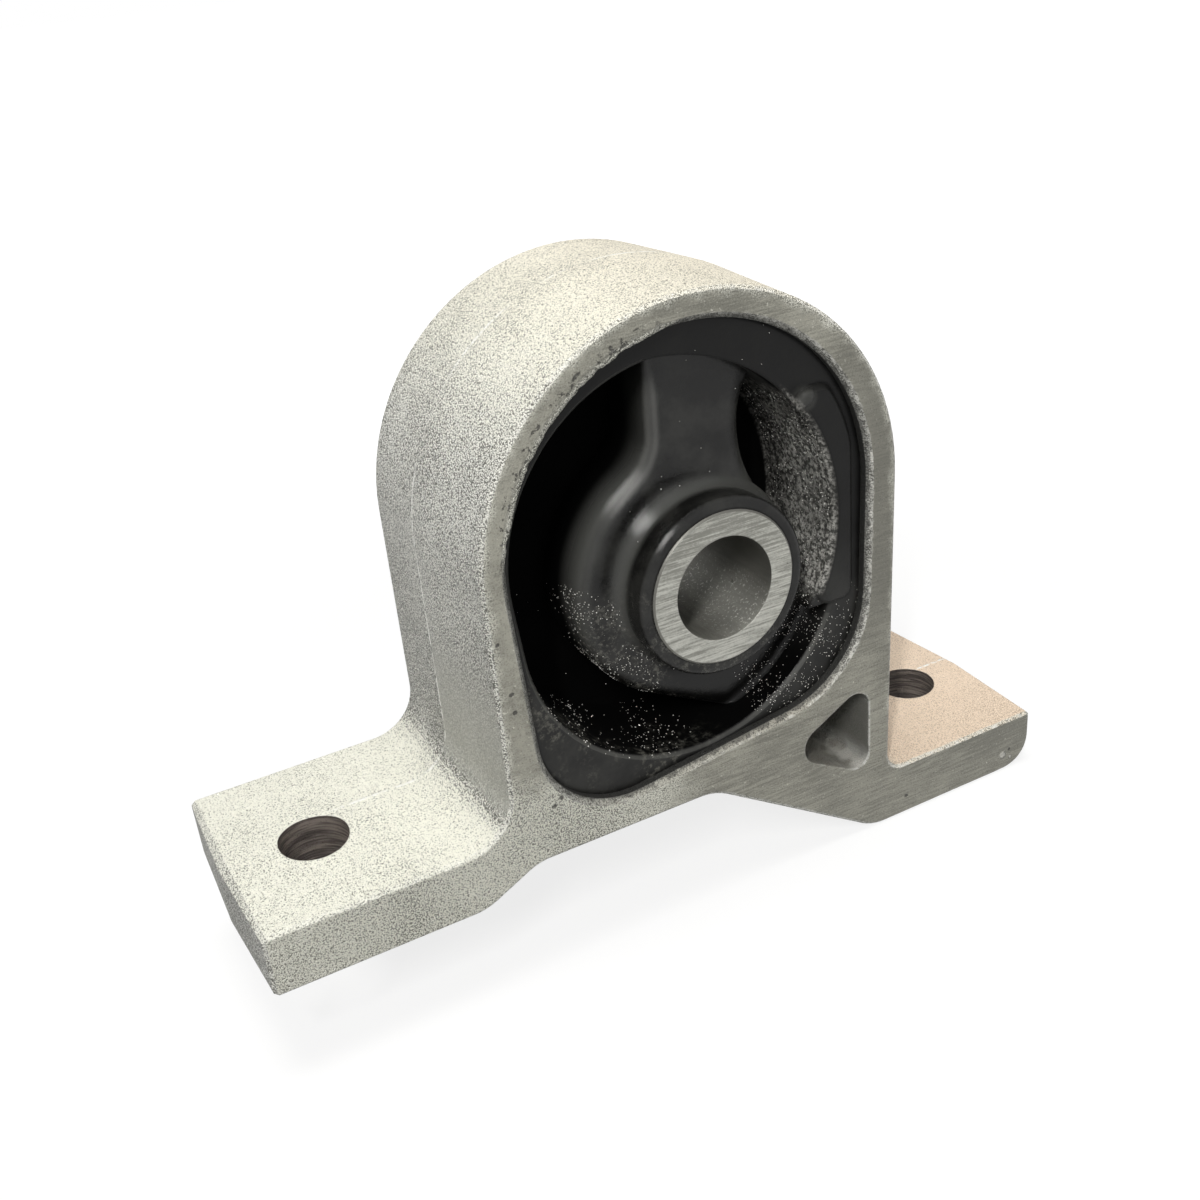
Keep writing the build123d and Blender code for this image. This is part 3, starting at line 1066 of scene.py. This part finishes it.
@dataclass
class Castings:
    """The three CAD nodes, which keep their shapes and take their finishes."""

    nodes: dict[str, bpy.types.Object]

    def dress(self) -> None:
        """Put each finish on its node."""
        finishes = {
            "bracket": CastAluminium(),
            "rubber_bushing": MouldedRubber(),
            "inner_sleeve": SawnSteel(),
        }
        for name, finish in finishes.items():
            node = self.nodes[name]
            material = finish.build()
            if not node.material_slots:
                node.data.materials.append(material)
            for material_slot in node.material_slots:
                material_slot.material = material
            LOG.info("dressed %s with %s", name, material.name)


@dataclass(frozen=True)
class DustZone:
    """A stretch of the rubber's surface that holds loose grains, with its box in millimetres."""

    name: str
    low: Triple
    high: Triple
    facing: Triple
    least_facing: float
    density: float
    grain: Pair
    clump: float
    seed: int
    node: str = "rubber_bushing"
    slot: str = "rubber"

    def holds(self, centre: Vector, normal: Vector) -> bool:
        """Return whether a face lies in the zone and looks its way, on either side of the casting.

        Args:
            centre: Middle of the face in metres.
            normal: Normal of the face.

        Returns:
            Whether grains may lie on it.
        """
        side = -1.0 if centre.y > 0 else 1.0
        mirrored = Vector((centre.x, side * centre.y, centre.z))
        turned = Vector((normal.x, side * normal.y, normal.z))
        spans = zip(self.low, mirrored, self.high)
        inside = all(low * MM <= value <= high * MM for low, value, high in spans)
        return inside and turned.dot(Vector(self.facing).normalized()) > self.least_facing


@dataclass
class GrainScatter:
    """Geometry Nodes tree that scatters small faceted grains over a surface in loose clumps."""

    material: bpy.types.Material
    tree: bpy.types.NodeTree = field(init=False)
    sockets: dict[str, str] = field(init=False)
    clump_range: Pair = (0.42, 0.64)
    clump_detail: float = 3.0

    def __post_init__(self) -> None:
        """Build the tree with its named inputs."""
        self.tree = bpy.data.node_groups.new("grain_scatter", "GeometryNodeTree")
        face = self.tree.interface
        face.new_socket("Geometry", in_out="INPUT", socket_type="NodeSocketGeometry")
        self.sockets = {}
        for name in ("Density", "Smallest Grain", "Largest Grain", "Clump Size"):
            socket = face.new_socket(name, in_out="INPUT", socket_type="NodeSocketFloat")
            self.sockets[name] = socket.identifier
        self.sockets["Seed"] = face.new_socket("Seed", in_out="INPUT", socket_type="NodeSocketInt").identifier
        face.new_socket("Geometry", in_out="OUTPUT", socket_type="NodeSocketGeometry")
        self._wire()

    def _node(self, kind: str, contents: dict[str, object], **settings: str) -> bpy.types.Node:
        """Add a node.

        Args:
            kind: Its type.
            contents: Links and constants for its inputs, by their names.
            settings: Its own settings, made before the inputs are filled.

        Returns:
            The node.
        """
        node = self.tree.nodes.new(kind)
        for name, setting in settings.items():
            setattr(node, name, setting)
        for name, content in contents.items():
            fill(self.tree, node.inputs[name], content)
        return node

    def _wire(self) -> None:
        """Join points, grains, sizes and turns into one realized mesh."""
        given = self._node("NodeGroupInput", {}).outputs
        where = self._node("GeometryNodeInputPosition", {}).outputs[0]
        inverse = self.tree.nodes.new("ShaderNodeMath")
        inverse.operation = "DIVIDE"
        inverse.inputs[0].default_value = 1.0
        self.tree.links.new(given["Clump Size"], inverse.inputs[1])
        clumps = self._node(
            "ShaderNodeTexNoise", {"Detail": self.clump_detail, "Vector": where, "Scale": inverse.outputs[0]}
        )
        ramp = self._node(
            "ShaderNodeMapRange",
            {
                "From Min": self.clump_range[0],
                "From Max": self.clump_range[1],
                "Value": clumps.outputs["Fac"],
                "To Max": given["Density"],
            },
            interpolation_type="SMOOTHSTEP",
        )
        points = self._node(
            "GeometryNodeDistributePointsOnFaces",
            {"Mesh": given["Geometry"], "Density": ramp.outputs["Result"], "Seed": given["Seed"]},
        )
        grain = self._node("GeometryNodeMeshIcoSphere", {"Radius": 1.0, "Subdivisions": 1})
        size = self._node(
            "FunctionNodeRandomValue",
            {"Min": given["Smallest Grain"], "Max": given["Largest Grain"], "Seed": given["Seed"]},
            data_type="FLOAT",
        )
        turn = self._node(
            "FunctionNodeRandomValue",
            {"Max": (math.tau, math.tau, math.tau), "Seed": given["Seed"]},
            data_type="FLOAT_VECTOR",
        )
        placed = self._node(
            "GeometryNodeInstanceOnPoints",
            {
                "Points": points.outputs["Points"],
                "Instance": grain.outputs["Mesh"],
                "Rotation": turn.outputs["Value"],
                "Scale": size.outputs["Value"],
            },
        )
        realized = self._node("GeometryNodeRealizeInstances", {"Geometry": placed.outputs["Instances"]})
        dressed = self._node("GeometryNodeSetMaterial", {"Geometry": realized.outputs["Geometry"]})
        dressed.inputs["Material"].default_value = self.material
        self._node("NodeGroupOutput", {"Geometry": dressed.outputs["Geometry"]})

    def scatter(self, zone: DustZone, surface: bpy.types.Mesh) -> bpy.types.Object:
        """Scatter one zone's grains and keep them as a plain mesh.

        Args:
            zone: Zone that gives the name, sizes and seed.
            surface: Mesh of the zone's faces.

        Returns:
            The finished piece.
        """
        piece = bpy.data.objects.new(zone.name, surface)
        bpy.context.collection.objects.link(piece)
        modifier = piece.modifiers.new("grain_scatter", "NODES")
        modifier.node_group = self.tree
        modifier[self.sockets["Density"]] = zone.density
        modifier[self.sockets["Smallest Grain"]] = zone.grain[0] * MM
        modifier[self.sockets["Largest Grain"]] = zone.grain[1] * MM
        modifier[self.sockets["Clump Size"]] = zone.clump * MM
        modifier[self.sockets["Seed"]] = zone.seed
        bpy.context.view_layer.update()
        evaluated = piece.evaluated_get(bpy.context.evaluated_depsgraph_get())
        grains = bpy.data.meshes.new_from_object(evaluated)
        piece.modifiers.clear()
        piece.data = grains
        return piece


# Densities are grains for each square metre; grain radii and clump widths are in millimetres
DUST_ZONES = (
    DustZone(
        "hub_dust", low=(-23.0, -14.2, -22.0), high=(-6.0, -5.0, 3.0),
        facing=(-1.0, -1.0, 0.3), least_facing=0.25,
        density=3.6e6, grain=(0.035, 0.12), clump=5.0, seed=3,
    ),
    DustZone(
        "leg_dust", low=(-12.0, -18.5, 2.0), high=(14.0, -12.0, 40.0),
        facing=(-0.3, -1.0, 0.0), least_facing=0.60,
        density=1.0e5, grain=(0.05, 0.13), clump=9.0, seed=5,
    ),
    DustZone(
        "stop_grit", low=(14.0, -18.5, -9.0), high=(23.0, -1.6, 30.0),
        facing=(-1.0, 0.0, 0.0), least_facing=0.50,
        density=3.2e6, grain=(0.04, 0.12), clump=4.0, seed=7,
    ),
    DustZone(
        "cavity_dust", low=(-34.0, -18.2, -34.0), high=(-4.0, -1.6, -6.0),
        facing=(0.5, -0.1, 0.8), least_facing=0.30,
        density=1.4e6, grain=(0.04, 0.13), clump=6.0, seed=11,
    ),
    DustZone(
        "lower_lip_dust", low=(6.0, -18.4, -32.0), high=(28.0, -12.0, -8.0),
        facing=(-0.8, -0.2, 0.6), least_facing=0.15,
        density=5.0e6, grain=(0.035, 0.10), clump=4.0, seed=13,
    ),
    DustZone(
        "membrane_dust", low=(-36.0, -2.0, -30.0), high=(20.0, -1.4, 12.0),
        facing=(0.0, -1.0, 0.0), least_facing=0.90,
        density=7.0e4, grain=(0.05, 0.14), clump=8.0, seed=17,
    ),
)


@dataclass
class LooseDust:
    """Grains that lie on the hub, in the cavity and on the face of the stop."""

    nodes: dict[str, bpy.types.Object]
    zones: tuple[DustZone, ...] = DUST_ZONES
    weld: float = 0.001

    def build(self) -> None:
        """Scatter every zone's grains and let them ride with the object."""
        scatter = GrainScatter(MetalDust().build())
        for zone in self.zones:
            surface = self._surface(zone)
            piece = scatter.scatter(zone, surface)
            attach(piece, "root")
            LOG.info("scattered %s, %d faces", piece.name, len(piece.data.polygons))

    def _surface(self, zone: DustZone) -> bpy.types.Mesh:
        """Return the zone's faces, copied from its node and merged into one mesh.

        Args:
            zone: Zone that the faces lie in.

        Returns:
            A mesh of the faces alone.
        """
        sheet = bmesh.new()
        sheet.from_mesh(self.nodes[zone.node].data)
        outside = [face for face in sheet.faces if not zone.holds(face.calc_center_median(), face.normal)]
        bmesh.ops.delete(sheet, geom=outside, context="FACES")
        bmesh.ops.remove_doubles(sheet, verts=sheet.verts, dist=self.weld * MM)
        return as_mesh(sheet, zone.name)


def as_mesh(sheet: bmesh.types.BMesh, name: str) -> bpy.types.Mesh:
    """Turn an edit mesh into a plain mesh and free it.

    Args:
        sheet: Edit mesh that it is part of.
        name: Name of the mesh.

    Returns:
        The mesh.
    """
    mesh = bpy.data.meshes.new(name)
    sheet.to_mesh(mesh)
    sheet.free()
    return mesh


def smooth_step(value: float, start: float, end: float) -> float:
    """Return a smooth step that is zero at start and one at end."""
    share = min(max((value - start) / (end - start), 0.0), 1.0)
    return share * share * (3.0 - 2.0 * share)


def keep(mesh: bpy.types.Mesh, material: bpy.types.Material) -> None:
    """Add a finished mesh to the scene as a piece of the object, under the mesh's name.

    Args:
        mesh: Mesh in the frame's own coordinates.
        material: Its finish.
    """
    mesh.materials.append(material)
    piece = bpy.data.objects.new(mesh.name, mesh)
    bpy.context.collection.objects.link(piece)
    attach(piece, "root")
    LOG.info("built %s, %d faces", piece.name, len(mesh.polygons))


@dataclass(frozen=True)
class RimBurr:
    """Thin torn lip of metal, pushed inwards over the chamfer along the upper left of the bore's rim."""

    side: Side
    centre: Pair = (-3.8, 10.8)
    root_radius: float = 32.3
    reach: float = 1.30
    least_reach: float = 0.12
    start: float = 84.0
    start_swell: float = 22.0
    end: float = 186.0
    end_swell: float = 26.0
    columns: int = 420
    rows: int = 5
    face: float = 20.46
    droop: float = 0.22
    ripple: float = 0.05
    least_tear: float = 0.15
    # How fast each pattern changes along the burr, for each degree
    wave_rate: float = 0.11
    tooth_rate: float = 0.9
    tear_rate: float = 0.33
    ripple_rate: float = 0.7
    root_thickness: float = 0.40
    tip_thickness: float = 0.07

    def build(self, material: bpy.types.Material) -> None:
        """Build the burr as one closed ragged strip.

        Args:
            material: Finish of the piece.
        """
        sheet = bmesh.new()
        loops = [self._section(sheet, column) for column in range(self.columns + 1)]
        size = len(loops[0])
        for this, after in zip(loops, loops[1:]):
            for index in range(size):
                following = (index + 1) % size
                sheet.faces.new((this[index], this[following], after[following], after[index]))
        sheet.faces.new(loops[0][::-1])
        sheet.faces.new(loops[-1])
        bmesh.ops.recalc_face_normals(sheet, faces=sheet.faces)
        keep(as_mesh(sheet, f"rim_burr_{self.side.name.lower()}"), material)

    def _noise(self, first: float, second: float) -> float:
        """Return smooth noise that differs between the two sides of the casting."""
        return noise.noise(Vector((first, second, self.side.value)))

    def _section(self, sheet: bmesh.types.BMesh, column: int) -> list[bmesh.types.BMVert]:
        """Return the closed section of the burr at one column.

        Args:
            sheet: Edit mesh that it is part of.
            column: Number of the column.

        Returns:
            Its vertices in order.
        """
        degrees = self.start + (self.end - self.start) * column / self.columns
        angle = math.radians(degrees)
        swell = smooth_step(degrees, self.start, self.start + self.start_swell)
        swell *= smooth_step(degrees, self.end, self.end - self.end_swell)
        wave = 0.5 + 0.5 * self._noise(degrees * self.wave_rate, 3.7)
        tooth = self._noise(degrees * self.tooth_rate, 9.1)
        tear = max(0.0, self._noise(degrees * self.tear_rate, 5.5) - self.least_tear)
        reach = self.reach * swell * (0.84 + 0.16 * wave + 0.05 * tooth - 0.45 * tear) + self.least_reach
        front = []
        back = []
        for row in range(self.rows + 1):
            share = row / self.rows
            radius = self.root_radius - reach * share
            ripple = self.ripple * share * self._noise(degrees * self.ripple_rate, 1.3 + share)
            depth = self.face - self.droop * share**2 - abs(ripple)
            thick = self.root_thickness + (self.tip_thickness - self.root_thickness) * share
            across = self.centre[0] + radius * math.cos(angle)
            up = self.centre[1] + radius * math.sin(angle)
            front.append(sheet.verts.new(Vector((across, self.side.value * depth, up)) * MM))
            back.append(sheet.verts.new(Vector((across, self.side.value * (depth - thick), up)) * MM))
        return front + back[::-1]


@dataclass(frozen=True)
class PadNib:
    """Small irregular moulding nib that stands on the rubber pad at the upper right."""

    side: Side
    seed: float
    place: Triple = (16.4, 18.9, 25.9)
    radii: Triple = (1.9, 1.1, 1.3)
    turn: float = 35.0
    roughness: float = 0.20
    coarse: float = 1.3
    fine: float = 3.9
    fine_share: float = 0.4

    def build(self, material: bpy.types.Material) -> None:
        """Build the nib from a ball whose skin is pushed in and out and then flattened.

        Args:
            material: Finish of the piece.
        """
        sheet = bmesh.new()
        bmesh.ops.create_icosphere(sheet, subdivisions=4, radius=1.0)
        cosine = math.cos(math.radians(self.turn))
        sine = math.sin(math.radians(self.turn))
        middle = Vector((self.place[0], self.side.value * self.place[1], self.place[2]))
        for vertex in sheet.verts:
            where = vertex.co.copy()
            coarse = noise.noise(where * self.coarse + Vector((self.seed, 0.0, 0.0)))
            fine = noise.noise(where * self.fine + Vector((0.0, self.seed, 0.0)))
            where *= 1.0 + self.roughness * (coarse + self.fine_share * fine)
            across = where.x * self.radii[0]
            up = where.z * self.radii[2]
            turned_x = across * cosine - up * sine
            turned_z = across * sine + up * cosine
            vertex.co = (Vector((turned_x, where.y * self.radii[1], turned_z)) + middle) * MM
        for polygon in sheet.faces:
            polygon.smooth = True
        keep(as_mesh(sheet, f"pad_nib_{self.side.name.lower()}"), material)


@dataclass(frozen=True)
class Blemishes:
    """Burrs and nibs that the casting and the moulding left, on the front and the back."""

    burrs: tuple[RimBurr, ...] = (RimBurr(Side.FRONT), RimBurr(Side.BACK))
    nibs: tuple[PadNib, ...] = (PadNib(Side.FRONT, seed=2.0), PadNib(Side.BACK, seed=6.0))

    def build(self, nodes: dict[str, bpy.types.Object]) -> None:
        """Build every blemish in the finish of the node that it belongs to.

        Args:
            nodes: CAD nodes by their names.
        """
        casting = nodes["bracket"].material_slots[0].material
        rubber = nodes["rubber_bushing"].material_slots[0].material
        for burr in self.burrs:
            burr.build(casting)
        for nib in self.nibs:
            nib.build(rubber)


@dataclass(frozen=True)
class Lamp:
    """Soft rectangular lamp that faces the object; place and size are in metres, power is in watts."""

    name: str
    place: Triple
    size: Pair
    power: float
    colour: Colour

    def build(self) -> None:
        """Hang the lamp."""
        light = bpy.data.lights.new(self.name, "AREA")
        light.shape = "RECTANGLE"
        light.size, light.size_y = self.size
        light.energy = self.power
        light.color = self.colour
        lamp = bpy.data.objects.new(self.name, light)
        lamp.location = self.place
        lamp.rotation_euler = (-Vector(self.place)).to_track_quat("-Z", "Y").to_euler()
        bpy.context.collection.objects.link(lamp)


@dataclass(frozen=True)
class Studio:
    """Floor, lamps, background and camera."""

    floor_z: float = -56.8
    floor_size: float = 6000.0
    soft_colour: Colour = (0.95, 0.97, 1.0)
    soft_strength: float = 0.10
    lamps: tuple[Lamp, ...] = (
        Lamp("overhead", (-0.05, -0.03, 0.90), (0.40, 0.40), 5.5, (1.0, 0.985, 0.95)),
        Lamp("strip", (-0.36, -0.44, 0.52), (0.030, 0.26), 3.3, (1.0, 0.99, 0.97)),
        Lamp("front_fill", (0.0, -0.80, 0.25), (0.50, 0.50), 0.83, WHITE),
    )
    camera_place: Triple = (-99.48, -181.08, 95.83)
    camera_angles: Triple = (62.607, 4.696, -29.132)
    focal_pixels: float = 1390.08
    centre_pixel: Pair = (616.54, 605.95)
    sensor: float = 36.0
    clip_start: float = 10.0

    def build(self) -> None:
        """Make everything that isn't part of the object."""
        self._floor()
        self._background()
        for lamp in self.lamps:
            lamp.build()
        self._camera()

    def _floor(self) -> None:
        """Lay a square floor under the lower foot."""
        half = self.floor_size / 2
        mesh = bpy.data.meshes.new("floor")
        corners = ((-half, -half), (half, -half), (half, half), (-half, half))
        mesh.from_pydata([Vector((*corner, self.floor_z)) * MM for corner in corners], [], [(0, 1, 2, 3)])
        floor = bpy.data.objects.new("floor", mesh)
        bpy.context.collection.objects.link(floor)
        mesh.materials.append(StudioFloor().build())

    def _background(self) -> None:
        """Make the world plain and soft, and white to the camera and in reflections."""
        world = bpy.data.worlds.new("studio")
        bpy.context.scene.world = world
        world.use_nodes = True
        tree = world.node_tree
        tree.nodes.clear()
        output = tree.nodes.new("ShaderNodeOutputWorld")
        mixer = tree.nodes.new("ShaderNodeMixShader")
        rays = tree.nodes.new("ShaderNodeLightPath").outputs
        camera, glossy, through = (Value(tree, rays[name]) for name in SEEING_RAYS)
        fill(tree, mixer.inputs["Fac"], (camera + (glossy + through)).clamped())
        for index, colour, strength in ((1, self.soft_colour, self.soft_strength), (2, WHITE, 1.0)):
            background = tree.nodes.new("ShaderNodeBackground")
            fill(tree, background.inputs["Color"], colour)
            background.inputs["Strength"].default_value = strength
            tree.links.new(background.outputs[0], mixer.inputs[index])
        tree.links.new(mixer.outputs[0], output.inputs["Surface"])

    def _camera(self) -> None:
        """Set the camera that sees the object as the photograph does."""
        camera_data = bpy.data.cameras.new("camera")
        camera_data.sensor_width = self.sensor
        camera_data.lens = self.sensor * self.focal_pixels / PHOTO_PIXELS
        camera_data.shift_x = (PHOTO_PIXELS / 2 - self.centre_pixel[0]) / PHOTO_PIXELS
        camera_data.shift_y = (self.centre_pixel[1] - PHOTO_PIXELS / 2) / PHOTO_PIXELS
        camera_data.clip_start = self.clip_start * MM
        camera = bpy.data.objects.new("camera", camera_data)
        camera.location = Vector(self.camera_place) * MM
        camera.rotation_euler = tuple(math.radians(angle) for angle in self.camera_angles)
        bpy.context.collection.objects.link(camera)
        bpy.context.scene.camera = camera


def main() -> None:
    """Build the scene in order."""
    logging.basicConfig(level=logging.INFO, format="%(name)s: %(message)s")
    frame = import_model()
    bpy.context.scene.view_settings.view_transform = "Standard"
    Castings(frame["nodes"]).dress()
    LooseDust(frame["nodes"]).build()
    Blemishes().build(frame["nodes"])
    Studio().build()


if __name__ == "__main__":
    main()
